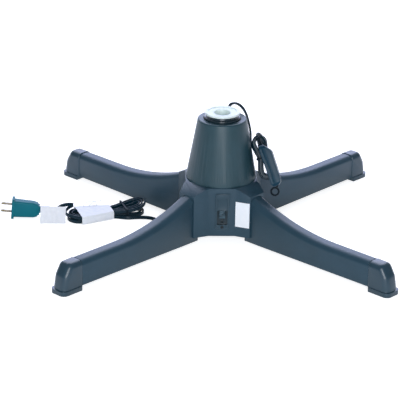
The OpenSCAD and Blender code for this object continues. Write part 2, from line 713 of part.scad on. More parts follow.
module drive_gear() color("#d9d4c4") {
    difference() {
        union() {
            translate([0, 0, gear_z]) linear_extrude(gear_face)
                polygon(gear_outline(gear_teeth, gear_module, 2));
            translate([0, 0, gear_z]) cylinder(h = gear_face + gear_boss_h, r = spindle_r + 3);
        }
        translate([0, 0, gear_top]) cylinder(h = gear_boss_h + 1, r = spindle_r);
        translate([0, 0, gear_z - 1]) cylinder(h = gear_face + 2, r = pivot_r);
        for (k = [0:5])
            rotate([0, 0, 60 * k]) translate([(spindle_r + 3 + gear_pitch_r) / 2, 0, gear_z - 1])
                cylinder(h = gear_face + 2, r = 4.5);
    }
}

module pivot_pin() color("silver")
    translate([0, 0, bearing_z - 2]) cylinder(h = gear_top - bearing_z + 2, r = pivot_r);

module slip_ring_carrier() color("#3a2b22") difference() {
    union() {
        translate([0, 0, ring_z]) cylinder(h = 2 * ring_h + 3 * ring_flange, r = ring_r0);
        for (k = [0:2])
            translate([0, 0, ring_z + k * (ring_h + ring_flange)])
                cylinder(h = ring_flange, r = ring_r1 + 0.8);
    }
    translate([0, 0, ring_z - 1]) cylinder(h = 2 * ring_h + 8, r = spindle_r);
}

module slip_rings() color("#b8963e") for (k = [0, 1])
    translate([0, 0, ring_z + ring_flange + k * (ring_h + ring_flange)]) difference() {
        cylinder(h = ring_h, r = ring_r1);
        translate([0, 0, -1]) cylinder(h = ring_h + 2, r = ring_r0);
    }

module motor_pinion() color("#c9c4b4") rotate([0, 0, motor_dir]) translate([gear_cd, 0, gear_z - 0.5])
    difference() {
        rotate([0, 0, 180 * (pinion_teeth % 2 == 1 ? 1 : (1 + 1 / pinion_teeth)) + mesh_phase()])
            linear_extrude(gear_face + 1) polygon(gear_outline(pinion_teeth, gear_module, 3));
        translate([0, 0, -1]) cylinder(h = gear_face + 4, r = shaft_r);
    }
// Turns the pinion so that a tooth stands in the gear's gap at the motor's direction
function mesh_phase() =
    let (t = motor_dir * gear_teeth / 360, gap = (t - floor(t)) - 0.5)
    (pinion_teeth % 2 == 1 ? 0 : -180 / pinion_teeth) + gap * 360 / pinion_teeth;

module motor_shaft() color("silver") rotate([0, 0, motor_dir])
    translate([gear_cd, 0, bearing_z - ear_t - 3.5]) cylinder(h = gear_top - bearing_z + 8, r = shaft_r);

// ---- mains cord ----
gland_z = 22;
gland_neck_r = 4;
gland_len = 25;
module mains_gland() color(DARK) translate([-face_dist, 0, gland_z]) rotate([0, -90, 0]) {
    translate([0, 0, -hub_wall - 1]) cylinder(h = hub_wall + 1, r = gland_neck_r);
    rotate_extrude() difference() {
        polygon([[0, 0], [6.6, 0], [6.6, 2], [5.4, 3], [3.7, gland_len], [0, gland_len]]);
        for (k = [0:3]) translate([4.4 - 0.3 * k, 6 + 4.4 * k]) square([4, 1.6]);
    }
}

hank_c = [-184, 55, 0];
hank_turn = 17;
hank_m = 2;
hank_end = 2 * hank_m + 1.25;
hank_half = 55.5;
function floor_map(p) = concat(spin(hank_turn, [p[0], p[1]]) + [hank_c[0], hank_c[1]], [p[2]]);
MAINS_PATH = [for (p = hank_path(0, hank_end, hank_m, hank_half, 3.1, 8.8, 3.6, 5.2, 4.6, 0.8))
    floor_map(p)];
MAINS_RINGS = rings(MAINS_PATH, same([0, 0, 1], len(MAINS_PATH)), same(0, len(MAINS_PATH)),
    section(6, cord_w, cord_t));
echo(mains_hank_gap = least_gap(mid_rings(MAINS_RINGS)));
echo(mains_hank_length = route_len(MAINS_PATH));
module mains_hank() color(CORD) sweep(MAINS_RINGS);

// From the gland to the waist of the hank, lying flat and turned on edge at the hank
OUT_POINTS = [[-face_dist - gland_len, 0, gland_z], [-face_dist - gland_len - 6, 0, gland_z - 0.5],
    [-93, 7, 16], [-97, 18, 8], [-101, 29, 3.4], [-107, 38, 2.8], [-116, 42, 2.9], [-128, 42.5, 3],
    [-141, 41.5, 3]];
OUT_PATH = curve(concat(OUT_POINTS,
    [for (p = [[28.5, -24.9, 3], [17, -17.6, 3], [7, -12.4, 3]]) floor_map(p)], [MAINS_PATH[0]]), 3);
OUT_RINGS = rings(OUT_PATH, same([0, 0, 1], len(OUT_PATH)), between(90, 0, len(OUT_PATH)),
    section(10, cord_w, cord_t));
echo(mains_cord_out_length = route_len(OUT_PATH));
module mains_cord_out() color(CORD) sweep(OUT_RINGS);

// From the end of the hank's upper layer, round in a loop to the plug
plug_end = -293;
plug_y = 48.5;
plug_z = 16.8;
plug_tilt = 4.2;
plug_l = plug_size[0] + 4;
plug_x = plug_end - plug_l;
plug_tail_z = plug_z - plug_l * sin(plug_tilt);
relief_end = [plug_end + relief_len * cos(plug_tilt), plug_y, plug_tail_z - relief_len * sin(plug_tilt)];
end_start = MAINS_PATH[len(MAINS_PATH) - 1];
end_dir = unit(end_start - MAINS_PATH[len(MAINS_PATH) - 2]);
END_POINTS = [[-250.5, 49, 10.3], [-248.5, 56.5, 12], [-242.5, 60.5, 14.8], [-237.8, 57.5, 18.2],
    [-240, 53, 20.8], [-246.5, 50.5, 22], [-254, 49.3, 21.6], [-260, 48.8, 18.4], [-265, 48.5, 14.2]];
END_PATH = curve(concat([end_start, end_start + 6 * end_dir], END_POINTS,
    [relief_end + 3 * [cos(plug_tilt), 0, -sin(plug_tilt)], relief_end]), 3);
END_RINGS = rings(END_PATH, same([0, 0, 1], len(END_PATH)), same(0, len(END_PATH)),
    section(10, cord_w, cord_t));
echo(mains_cord_end_length = route_len(END_PATH));
module mains_cord_end() color(CORD) sweep(END_RINGS);

// Frame of the plug: x runs from the flange's face to the tail along its own axis
module plug_place() translate([plug_x, plug_y, plug_z]) rotate([0, plug_tilt, 0]) children();

module plug_relief() color(TEAL) plug_place() translate([plug_l, 0, 0]) rotate([0, 90, 0])
    rotate_extrude() difference() {
        polygon([[0, 0], [5.6, 0], [3.6, relief_len], [0, relief_len]]);
        for (k = [0:3]) translate([4.3 - 0.35 * k, 3.5 + 4 * k]) square([4, 1.6]);
    }

// Moulded plug: flange that stands on its edge and a body that tapers to the tail
module plug_body() color(TEAL) plug_place() {
    w = plug_size[1];
    h = plug_size[2];
    edge = (plug_z - 0.1) / cos(plug_tilt);
    rotate([90, 0, 90]) linear_extrude(4) {
        square([w + 3, 2 * edge - 5], center = true);
        square([w - 2, 2 * edge], center = true);
        for (s = [-1, 1], t = [-1, 1]) translate([s * (w / 2 - 1), t * (edge - 2.5)]) circle(2.5, $fn = 32);
    }
    hull() {
        translate([4, 0, 0]) plug_slab(w, h);
        translate([plug_l - 10, 0, 0]) plug_slab(w - 1, h - 3);
    }
    hull() {
        translate([plug_l - 10, 0, 0]) plug_slab(w - 1, h - 3);
        translate([plug_l - 3, 0, 0]) plug_slab(w - 2.5, h - 7);
    }
    translate([plug_l - 3, 0, 0]) rotate([0, 90, 0])
        linear_extrude(3) square([h - 12, w - 5], center = true);
}
module plug_slab(w, h) rotate([90, 0, 90]) linear_extrude(0.5) {
    square([w - 6, h], center = true);
    square([w, h - 6], center = true);
    for (s = [-1, 1], t = [-1, 1]) translate([s * (w / 2 - 3), t * (h / 2 - 3)]) circle(3, $fn = 32);
}

module plug_blades() color("#a89a60") plug_place() for (s = [-1, 1])
    translate([-17.5, -3.1, s * 6.35 - 0.75]) difference() {
        union() {
            translate([1.5, 0, 0]) cube([16, 6.2, 1.5]);
            translate([0, 1.5, 0]) cube([16, 3.2, 1.5]);
            for (t = [1.5, 4.7]) translate([1.5, t, 0]) cylinder(h = 1.5, r = 1.5);
        }
        translate([4, 3.1, -1]) cylinder(h = 4, r = 1.5);
    }

// Paper wrapped over the hank's waist, wider over the left end
module wrap_slab(x, hw, h, t) translate([x, 0, 0]) rotate([90, 0, 90]) linear_extrude(t)
    polygon([[-hw, 0], [hw, 0], [hw, h - 3], [hw - 3, h], [3 - hw, h], [-hw, h - 3]]);
wrap_h = cord_w + layer_step + 0.35;
wrap_t = 0.45;
wrap_hw0 = 25.5;
wrap_hw1 = 16.65;
module cord_wrap_tag() color("white") translate(hank_c) rotate([0, 0, hank_turn]) difference() {
    union() {
        hull() {
            wrap_slab(-48, wrap_hw0, wrap_h + wrap_t, 0.01);
            wrap_slab(-40, wrap_hw0, wrap_h + wrap_t, 0.01);
        }
        hull() {
            wrap_slab(-40, wrap_hw0, wrap_h + wrap_t, 0.01);
            wrap_slab(8, wrap_hw1, wrap_h + wrap_t, 0.01);
        }
    }
    hull() {
        wrap_slab(-49, wrap_hw0 - wrap_t, wrap_h, 0.01);
        wrap_slab(-40, wrap_hw0 - wrap_t, wrap_h, 0.01);
    }
    hull() {
        wrap_slab(-40, wrap_hw0 - wrap_t, wrap_h, 0.01);
        wrap_slab(8.1, wrap_hw1 - wrap_t, wrap_h, 0.01);
    }
    translate([-60, -40, -1]) cube([120, 80, 1]);
}

// White card that leans from the floor to the plug's strain relief, its fold lying on it
flag_x = -291;
flag_w = 41;
flag_lean = 50;
flag_len = 31;
flag_y = 20.5;
flag_t = 0.45;
fold_w = 14;
fold_z = plug_tail_z + 5.4;
module cord_flag_tag() color("white") translate([flag_x, 0, 0]) {
    lift = flag_t * sin(flag_lean);
    top = [flag_y + flag_len * sin(flag_lean), lift + flag_len * cos(flag_lean)];
    translate([0, flag_y, lift]) rotate([-flag_lean, 0, 0]) cube([flag_w, flag_t, flag_len]);
    translate([0, top[0] - 0.3, fold_z]) cube([fold_w, plug_y - top[0] + 1.3, flag_t]);
    translate([0, top[0] - 0.3, fold_z]) cube([fold_w, flag_t, top[1] - 0.25 - fold_z]);
}

tie_half = 20.9;
tie_h = wrap_h + 3.2;
module hank_tie() color("#e8ecee") translate(hank_c) rotate([0, 0, hank_turn]) translate([28, 0, 0])
    difference() {
        translate([0, -tie_half, 0]) cube([3, 2 * tie_half, tie_h]);
        translate([-1, 0.8 - tie_half, -1]) cube([5, 2 * tie_half - 1.6, tie_h + 0.2]);
    }

// ---- outlet tap and its cord ----
tap_pos = [77.8, -23.4, 121.4];
tap_tilt_x = -21.75;
tap_tilt_y = -21.4;
tap_back = -9;
function tap_world(p) =
    let (y = p[1] * cos(tap_tilt_x) - p[2] * sin(tap_tilt_x))
    let (z = p[1] * sin(tap_tilt_x) + p[2] * cos(tap_tilt_x))
    tap_pos + [p[0] * cos(tap_tilt_y) + z * sin(tap_tilt_y), y, z * cos(tap_tilt_y) - p[0] * sin(tap_tilt_y)];
module tap_place() translate(tap_pos) rotate([tap_tilt_x, tap_tilt_y, 0]) children();

// Hank behind the tap, its layers stacked away from it
hank2_off = [-9, tap_w / 2 + 0.6, 16.9];
hank2_lean = -4;
hank2_half = 32.3;
function hang_map(p) =
    let (x = p[1], z = -p[0])
    tap_world([hank2_off[0] + x * cos(hank2_lean) - z * sin(hank2_lean), hank2_off[1] + p[2],
        hank2_off[2] + z * cos(hank2_lean) + x * sin(hank2_lean)]);
hang_ref = unit(tap_world([0, 1, 0]) - tap_world([0, 0, 0]));
TAP_PATH = [for (p = hank_path(10 / 24, 3.125, 1, hank2_half, 3.6, 7.2, 3.7, 3.7, 4.2, 0))
    hang_map(p)];
TAP_RINGS = rings(TAP_PATH, same(hang_ref, len(TAP_PATH)), same(0, len(TAP_PATH)),
    section(6, cord_w, cord_t));
echo(tap_hank_gap = least_gap(mid_rings(TAP_RINGS)));
echo(tap_hank_length = route_len(TAP_PATH));
module tap_hank() color(CORD) sweep(TAP_RINGS);

module tap_tie() color(CORD) tap_place() translate(hank2_off) rotate([0, -hank2_lean, 0])
    translate([0, 0, -3]) difference() {
        translate([-10.9, -0.5, 0]) cube([20, 2 * cord_w + 2, 3]);
        translate([-10.2, -0.1, -1]) cube([18.6, 2 * cord_w + 1.2, 5]);
    }

// Cord outlet on the back of the collar
outlet_dir = 72;
outlet_r = 34;
outlet_w = 9;
outlet_z = (cone_top_z + 0.6 + sleeve_z - 0.3) / 2;
relief_r = outlet_r + 5;
module tap_cord_relief() color(DARK) rotate([0, 0, outlet_dir]) translate([outlet_r, 0, outlet_z])
    rotate([0, 90, 0]) cylinder(h = relief_r - outlet_r, r1 = 3.6, r2 = 3.2);

tap_cord_start = concat(relief_r * dir2(outlet_dir), [outlet_z]);
tap_cord_dir = concat(dir2(outlet_dir), [0]);
tap_end = TAP_PATH[len(TAP_PATH) - 1];
tap_end_dir = unit(tap_end - TAP_PATH[len(TAP_PATH) - 2]);
ARC_POINTS = [[14, 41, 200], [20, 39.5, 203], [27, 35.5, 202.5], [33.5, 30, 198.5], [38.5, 24, 191.5],
    [42, 19.5, 182], [44.6, 18, 171], [46.6, 17.2, 161]];
ARC_PATH = curve(concat([tap_cord_start, tap_cord_start + 2.5 * tap_cord_dir], ARC_POINTS,
    [tap_end + 5 * tap_end_dir, tap_end]), 3);
function outward(p) = unit([p[0], p[1], 0]);
function arc_ref(i) = let (p = ARC_PATH[i])
    i < 12 ? unit([p[0], p[1], 60])
        : i > len(ARC_PATH) - 8 ? unit(outward(p) + hang_ref) : unit([p[0], p[1], 12]);
ARC_RINGS = rings(ARC_PATH, [for (i = [0:len(ARC_PATH) - 1]) arc_ref(i)], same(90, len(ARC_PATH)),
    section(10, cord_w, cord_t));
echo(tap_cord_length = route_len(ARC_PATH));
module tap_cord() color(CORD) sweep(ARC_RINGS);

// From the hank's first layer up to the tap's strain relief
relief2_len = 13;
relief2_x = tap_back + 3.4;
tap_start = TAP_PATH[0];
tap_start_dir = unit(TAP_PATH[0] - TAP_PATH[1]);
tap_top = tap_world([relief2_x, 0, tap_len / 2 + relief2_len]);
TAIL_PATH = curve(concat([tap_start, tap_start + 6 * tap_start_dir],
    [for (p = [[0.5, 15.5, 49.5], [-1.8, 10, 52.6], [-4.2, 4, 53], [-5.4, 0.8, 51.2]]) tap_world(p)],
    [tap_top]), 3);
tap_side_dir = unit(tap_world([1, 0, 0]) - tap_world([0, 0, 0]));
TAIL_RINGS = rings(TAIL_PATH, same(tap_side_dir, len(TAIL_PATH)), same(90, len(TAIL_PATH)),
    section(10, cord_w, cord_t));
echo(tap_cord_end_length = route_len(TAIL_PATH));
module tap_cord_end() color(CORD) sweep(TAIL_RINGS);

module tap_relief() color(DARK) tap_place() translate([relief2_x, 0, tap_len / 2])
    rotate_extrude() difference() {
        polygon([[0, 0], [3.9, 0], [3.4, relief2_len], [0, relief2_len]]);
        for (k = [0:2]) translate([2.8, 2.2 + 2.6 * k]) square([4, 1.2]);
    }

// Side view of the tap: flat back, shoulder that slopes up to the relief, rounded foot
module tap_side(t) {
    h = tap_len / 2;
    x = tap_back + t;
    polygon([[tap_back, 5 - h], [tap_back + 3, 1 - h], [x - 8, 1 - h], [x - 3, 5 - h], [x - 1.4, 11 - h],
        [x, h - 15], [x - 1.5, h - 11.5], [tap_back + 7.6, h], [tap_back, h]]);
}
// Front view of the tap with round corners
module tap_outline(w, len, r) {
    square([len - 2 * r, w], center = true);
    square([len, w - 2 * r], center = true);
    for (s = [-1, 1], t = [-1, 1]) translate([s * (len / 2 - r), t * (w / 2 - r)]) circle(r);
}
module outlet_tap() color("#4f8f9a") tap_place() difference() {
    intersection() {
        rotate([90, 0, 0]) linear_extrude(tap_w, center = true) tap_side(tap_t);
        rotate([0, 90, 0]) linear_extrude(4 * tap_t, center = true) tap_outline(tap_w, tap_len, 7);
    }
    for (s = [-1, 1])
        translate([tap_back + 4, s * tap_w / 2 - 0.5, -tap_len / 2 - 1]) cube([1.2, 1, tap_len + 2]);
    for (k = [-1:1], s = [-1, 1])
        translate([-1, s * 6.35 - 0.9, k * 19 - 8]) cube([2 * tap_t, 1.8, 7.4]);
}

ring_drop = 6.65;
module tap_ring() color(DARK) tap_place() translate([tap_back + 1, 0, -tap_len / 2 - ring_drop]) {
    rotate([90, 0, 0]) rotate_extrude() translate([ring_d / 2 - ring_t / 2, 0]) circle(ring_t / 2, $fn = 32);
    intersection() {
        rotate([0, 42, 0])
            translate([-1.6, -ring_t / 2, ring_d / 2 - ring_t / 2 - 0.5]) cube([3.2, ring_t, 6.5]);
        translate([-ring_d, -ring_t, 0]) cube([2 * ring_d, 2 * ring_t, ring_drop + 1]);
    }
}

base_hub();
cone_cover();
bottom_plate();
plate_screws();
bearing_plate();
bearing_screws();
lower_bush();
thrust_washer();
upper_bush();
gearmotor();
motor_screws();
brush_block();
brushes();
switch_plate();
switch_body();
switch_screw();
flank_sticker();
leg_fl();
leg_bl();
leg_br();
leg_fr();
foot_cap_fl();
foot_cap_bl();
foot_cap_br();
foot_cap_fr();
mains_gland();
mains_cord_out();
mains_hank();
mains_cord_end();
plug_relief();
plug_body();
plug_blades();
cord_wrap_tag();
cord_flag_tag();
hank_tie();
turntable_collar();
pole_sleeve();
spindle_tube();
drive_gear();
pivot_pin();
slip_ring_carrier();
slip_rings();
tap_cord_relief();
tap_cord();
tap_hank();
tap_tie();
tap_cord_end();
tap_relief();
outlet_tap();
tap_ring();
motor_pinion();
motor_shaft();
switch_knob();
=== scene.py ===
# Rotating stand for an artificial christmas tree, dressed for rendering round its packed
# CAD frame. Metres, Z up; the pole axis is the Z axis and the speed switch faces -Y.
import math

import bmesh
import bpy
from mathutils import Matrix, Vector


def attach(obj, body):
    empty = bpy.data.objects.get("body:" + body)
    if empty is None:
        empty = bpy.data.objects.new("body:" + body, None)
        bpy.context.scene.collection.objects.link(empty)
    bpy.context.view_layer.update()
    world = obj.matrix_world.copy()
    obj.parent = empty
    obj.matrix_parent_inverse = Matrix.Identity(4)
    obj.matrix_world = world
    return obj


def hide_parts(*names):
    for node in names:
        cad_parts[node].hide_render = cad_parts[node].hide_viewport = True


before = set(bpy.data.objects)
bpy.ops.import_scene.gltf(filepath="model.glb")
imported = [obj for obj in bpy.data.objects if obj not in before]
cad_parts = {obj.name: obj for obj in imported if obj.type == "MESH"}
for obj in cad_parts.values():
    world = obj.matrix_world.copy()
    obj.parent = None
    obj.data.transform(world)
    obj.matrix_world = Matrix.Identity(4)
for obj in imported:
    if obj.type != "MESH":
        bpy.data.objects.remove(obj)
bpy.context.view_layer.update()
bpy.ops.object.select_all(action="DESELECT")

# ---- Camera ----
# The photograph looks down at 22 degrees from about 3 m, straight at the speed switch.
# A long lens, so the legs hardly converge.
MM = 0.001
camera_at = Vector((-127.9028, -2958.3208, 1252.566)) * MM
yaw, pitch, roll = 0.0321, 0.3855, 0.0175
focal_px, photo_px, sensor_mm = 1988.7797, 400, 36


def placed(name, data):
    """A new object in the scene that holds some data."""
    piece = bpy.data.objects.new(name, data)
    bpy.context.collection.objects.link(piece)
    return piece


forward = Vector((math.sin(yaw) * math.cos(pitch), math.cos(yaw) * math.cos(pitch), -math.sin(pitch)))
level = Vector((math.cos(yaw), -math.sin(yaw), 0))
upward = level.cross(forward)
right = math.cos(roll) * level + math.sin(roll) * upward
top = math.cos(roll) * upward - math.sin(roll) * level
lens = bpy.data.cameras.new("camera")
lens.sensor_width = sensor_mm
lens.lens = focal_px / photo_px * sensor_mm
lens.clip_end = 30
camera = placed("camera", lens)
camera.matrix_world = Matrix.Translation(camera_at) @ Matrix((right, top, -forward)).transposed().to_4x4()
bpy.context.scene.camera = camera
bpy.context.scene.view_settings.view_transform = "Standard"

# ---- Mains cord ----
# Flat twin lead with a rib along each conductor, PVC, 6 by 3 mm and 1.66 m long. It leaves
# the gland on the left side, lies in a two-layer hank on the floor and ends in the plug.


def vec(*p):
    """A point given in millimetres, in metres."""
    return Vector(p) * MM


def ease(u):
    return u * u * (3 - 2 * u)


def smooth_route(points, steps):
    """A smooth curve through chosen points, with some steps between each two."""
    last = len(points) - 1
    route = []
    for i in range(last):
        a, b, c, d = (points[min(max(i + k, 0), last)] for k in (-1, 0, 1, 2))
        for j in range(steps):
            u = j / steps
            route.append(0.5 * (2 * b + (c - a) * u + (2 * a - 5 * b + 4 * c - d) * u * u
                                + (3 * b - a - 3 * c + d) * u ** 3))
    return route + [points[last]]


def relaxed(route, begin, end, passes):
    """Eases the tight turns on a stretch of a route, as the stiffness of a real lead does."""
    for _ in range(passes):
        means = [(route[i - 1] + 2 * route[i] + route[i + 1]) / 4 for i in range(begin + 1, end - 1)]
        route = route[:begin + 1] + means + route[end - 1:]
    return route


def hank_point(s, layer_turn, half, waist, end, d_waist, d_end, d_len, splay):
    """Point s turns along a hank that spirals in on its first layer and out on its second.

    Its innermost turn reaches half from the middle, is waist from the axis there and end from
    it at its round ends; each turn further out adds the d_ values. The lead climbs to the second
    layer in the half turn that starts a quarter after layer_turn. splay lifts that layer's far end.
    """
    layer_height, layer_step = 3, 6.7
    f = s % 1
    if s < layer_turn + 0.25:
        q, rise = layer_turn + 0.25 - s, 0
    elif s < layer_turn + 0.75:
        u = 2 * (s - layer_turn - 0.25)
        q, rise = -0.8 * math.sin(math.pi * u), ease(u)
    else:
        q, rise = s - layer_turn - 0.75, 1
    waist, end = waist + d_waist * q, end + d_end * max(q, -0.3)
    centre = half + d_len * q - end

    def run(u, side):
        return u * centre, side * (waist + (end - waist) * ease(min(abs(u), 1)))

    def turn(u, side):
        return side * (centre + end * math.sin(math.pi * u)), side * end * math.cos(math.pi * u)

    # Half a straight run, the round end, a whole run back, the other end and the last half run.
    if f < 0.125:
        x, y = run(-f / 0.125, -1)
    elif f < 0.375:
        x, y = turn((f - 0.125) / 0.25, -1)
    elif f < 0.625:
        x, y = run((f - 0.5) / 0.125, 1)
    elif f < 0.875:
        x, y = turn((f - 0.625) / 0.25, 1)
    else:
        x, y = run((1 - f) / 0.125, -1)
    far = max(x / half, 0)
    return x, y, (layer_height + layer_step * rise) * (1 + splay * far * far * rise)


def on_floor(p):
    """A point of the hank's own plan, in its place on the floor between the two left legs."""
    heading_angle, middle_x, middle_y = math.radians(17), -184, 55
    cos, sin = math.cos(heading_angle), math.sin(heading_angle)
    return vec(p[0] * cos - p[1] * sin + middle_x, p[0] * sin + p[1] * cos + middle_y, p[2])


per_turn = 72
hank = [on_floor(hank_point(i / per_turn, layer_turn=2, half=55.5, waist=3.1, end=8.8,
                            d_waist=3.6, d_end=5.2, d_len=4.6, splay=0.8))
        for i in range(round(5.25 * per_turn) + 1)]
hank_way = (hank[-1] - hank[-2]).normalized()
leaving = smooth_route(
    [vec(*p) for p in ((-82, 0, 22), (-88, 0, 21.5), (-93, 7, 16), (-97, 18, 8), (-101, 29, 3.4),
                       (-107, 38, 2.8), (-116, 42, 2.9), (-128, 42.5, 3), (-141, 41.5, 3))]
    + [on_floor(p) for p in ((28.5, -24.9, 3), (17, -17.6, 3), (7, -12.4, 3))] + [hank[0]], steps=8)
plug_tilt, plug_length, boot_length = math.radians(4.2), 0.045, 0.021
plug_axis = Vector((math.cos(plug_tilt), 0, -math.sin(plug_tilt)))
plug_tail = vec(-338, 48.5, 16.8) + plug_length * plug_axis
entry = plug_tail + boot_length * plug_axis
ending = smooth_route(
    [hank[-1], hank[-1] + 0.006 * hank_way]
    + [vec(*p) for p in ((-250.5, 49, 10.3), (-248.5, 56.5, 12), (-242.5, 60.5, 14.8), (-237.8, 57.5, 18.2),
                         (-240, 53, 20.8), (-246.5, 50.5, 22), (-254, 49.3, 21.6), (-260, 48.8, 18.4),
                         (-265, 48.5, 14.2))]
    + [entry + 0.003 * plug_axis, entry], steps=8)


def heading(route, i):
    """The direction in which a route passes its point i."""
    return (route[min(i + 1, len(route) - 1)] - route[max(i - 1, 0)]).normalized()


def flat_cord(name, route, thins):
    """A tube of two ribs side by side, swept along a route; thins gives its thin direction."""
    half_thick, half_wide, sides = 1.5, 3, 16
    # A squared oval, pinched along the middle between its two conductors.
    section = []
    for i in range(sides):
        a = math.radians(360 * (i + 0.5) / sides)
        thick = half_thick * math.copysign(abs(math.cos(a)) ** 0.7, math.cos(a))
        wide = half_wide * math.copysign(abs(math.sin(a)) ** 0.8, math.sin(a))
        section.append((thick * (0.72 if abs(wide) < 0.9 else 1), wide))
    tube = bmesh.new()
    along, reach = 0.0, []
    rings = []
    for i, p in enumerate(route):
        t = heading(route, i)
        across = (thins[i] - t * t.dot(thins[i])).normalized()
        tall = t.cross(across)
        rings.append([tube.verts.new(p + MM * (x * across + y * tall)) for x, y in section])
        along += (p - route[i - 1]).length if i else 0
        reach.append(along)
    uv = tube.loops.layers.uv.new("route")
    for i in range(len(rings) - 1):
        for k in range(sides):
            corners = ((i, k), (i + 1, k), (i + 1, k + 1), (i, k + 1))
            face = tube.faces.new([rings[row][col % sides] for row, col in corners])
            face.smooth = True
            for loop, (row, col) in zip(face.loops, corners):
                loop[uv].uv = (reach[row], col * MM)
    tube.faces.new(rings[0])
    tube.faces.new(list(reversed(rings[-1])))
    bmesh.ops.recalc_face_normals(tube, faces=tube.faces)
    mesh = bpy.data.meshes.new(name)
    tube.to_mesh(mesh)
    tube.free()
    return placed(name, mesh)


def linear(code, alpha=1.0):
    """An sRGB hex colour as the linear colour that a shader takes."""
    channels = [int(code[i:i + 2], 16) / 255 for i in (1, 3, 5)]
    return tuple(c / 12.92 if c <= 0.04045 else ((c + 0.055) / 1.055) ** 2.4 for c in channels) + (alpha,)


def add(tree, kind, sockets=None, **settings):
    """Adds a shader node: settings are its properties, sockets its values or links."""
    made = tree.nodes.new(kind)
    for name, value in settings.items():
        setattr(made, name, value)
    for name, value in (sockets or {}).items():
        if isinstance(value, bpy.types.NodeSocket):
            tree.links.new(value, made.inputs[name])
        else:
            made.inputs[name].default_value = value
    return made


def blank_material(name):
    """A material without nodes, its tree, and the object coordinates in metres to start from."""
    material = bpy.data.materials.new(name)
    material.use_nodes = True
    tree = material.node_tree
    tree.nodes.clear()
    return material, tree, add(tree, "ShaderNodeTexCoord")


def noise(tree, vector, per_metre, detail, roughness=0.5):
    """Noise with so many clouds or grains to the metre."""
    return add(tree, "ShaderNodeTexNoise", {
        "Vector": vector, "Scale": per_metre, "Detail": detail, "Roughness": roughness})


def two_shades(tree, pattern, dark, light):
    return add(tree, "ShaderNodeMix", {
        "Factor": pattern.outputs["Fac"], "A": linear(dark), "B": linear(light)}, data_type="RGBA")


def bump(tree, pattern, strength, depth_mm):
    return add(tree, "ShaderNodeBump", {
        "Height": pattern.outputs["Fac"], "Strength": strength, "Distance": depth_mm * MM})


def finished(material, tint, relief, sockets):
    """Gives a material its shader, from a tint, a relief and its other values, and its output."""
    tree = material.node_tree
    shader = add(tree, "ShaderNodeBsdfPrincipled", {
        "Base Color": tint.outputs["Result"], "Normal": relief.outputs["Normal"], **sockets})
    add(tree, "ShaderNodeOutputMaterial", {"Surface": shader.outputs["BSDF"]})
    return material


def flexible_pvc():
    """Flexible PVC: nearly black green, extruded smooth, so it has a soft oily gloss and fine
    draw lines along the cord."""
    material, tree, where = blank_material("flexible_pvc")
    cloud = noise(tree, where.outputs["Object"], 60.0, 3.0)
    drawn = add(tree, "ShaderNodeMapping", {"Vector": where.outputs["UV"], "Scale": (120.0, 4000.0, 1.0)})
    lines = noise(tree, drawn.outputs["Vector"], 1.0, 2.0)
    return finished(material, two_shades(tree, cloud, "#051C26", "#092C3A"), bump(tree, lines, 0.1, 0.1), {
        "Roughness": 0.28, "IOR": 1.52, "Specular IOR Level": 0.13})


cord_pvc = flexible_pvc()
# Eased from the gland to just inside the hank, and from the hank's last points to the plug.
mains_route = leaving[:-1] + hank + ending[1:]
mains_route = relaxed(mains_route, 0, len(leaving) + 6, passes=24)
mains_route = relaxed(mains_route, len(leaving) + len(hank) - 10, len(mains_route), passes=50)
# Flat on the floor near the gland, turned on its edge where it joins the hank.
mains_thins = []
for i in range(len(mains_route)):
    way = heading(mains_route, i)
    side = Vector((0, 0, 1)).cross(way).normalized()
    a = math.radians(90 * max(0, 1 - i / (len(leaving) - 1)))
    mains_thins.append(side * math.cos(a) + way.cross(side) * math.sin(a))
mains_cord = flat_cord("mains_cord", mains_route, mains_thins)
mains_cord.data.materials.append(cord_pvc)
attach(mains_cord, "stand")
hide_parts("mains_cord_out", "mains_hank", "mains_cord_end")

# ---- Gland, plug and its blades ----
# Cord gland of black rubbery PVC pushed into the hub's side, and a plug moulded onto the
# lead in teal PVC, with two brass blades that each have a hole.


def picked(piece):
    """Makes a piece the active and selected one, for the operators that follow."""
    bpy.context.view_layer.objects.active = piece
    piece.select_set(True)
    return piece


def cad_copy(node, name, weld_mm=0.01):
    """A CAD node's mesh as a piece of its own, its triangles merged into faces."""
    piece = picked(placed(name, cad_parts[node].data.copy()))
    if piece.data.has_custom_normals:
        bpy.ops.mesh.customdata_custom_splitnormals_clear()
    bpy.ops.object.mode_set(mode="EDIT")
    bpy.ops.mesh.select_all(action="SELECT")
    bpy.ops.mesh.remove_doubles(threshold=weld_mm * MM)
    bpy.ops.mesh.dissolve_limited(angle_limit=math.radians(0.4))
    bpy.ops.object.mode_set(mode="OBJECT")
    return piece


def softened(piece, edge_mm, rings=2):
    """Rounds a piece's sharp edges by so many millimetres and smooths its faces."""
    bevel = piece.modifiers.new("soft_edges", "BEVEL")
    bevel.width = edge_mm * MM
    bevel.segments = rings
    bevel.limit_method = "ANGLE"
    bevel.angle_limit = math.radians(32)
    bpy.ops.object.modifier_apply(modifier=bevel.name)
    bpy.ops.object.shade_smooth_by_angle(angle=math.radians(38))
    piece.select_set(False)
    return piece


def fitted(piece, material, body, node):
    """Gives a piece its material, the body it rides on and the node it stands for."""
    piece.data.materials.clear()
    piece.data.materials.append(material)
    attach(piece, body)
    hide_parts(node)
    return piece


def soft_copy(node, name, edge_mm, material, body, rings=2):
    """A CAD node's copy with soft edges, fitted in that node's place."""
    return fitted(softened(cad_copy(node, name), edge_mm, rings), material, body, node)


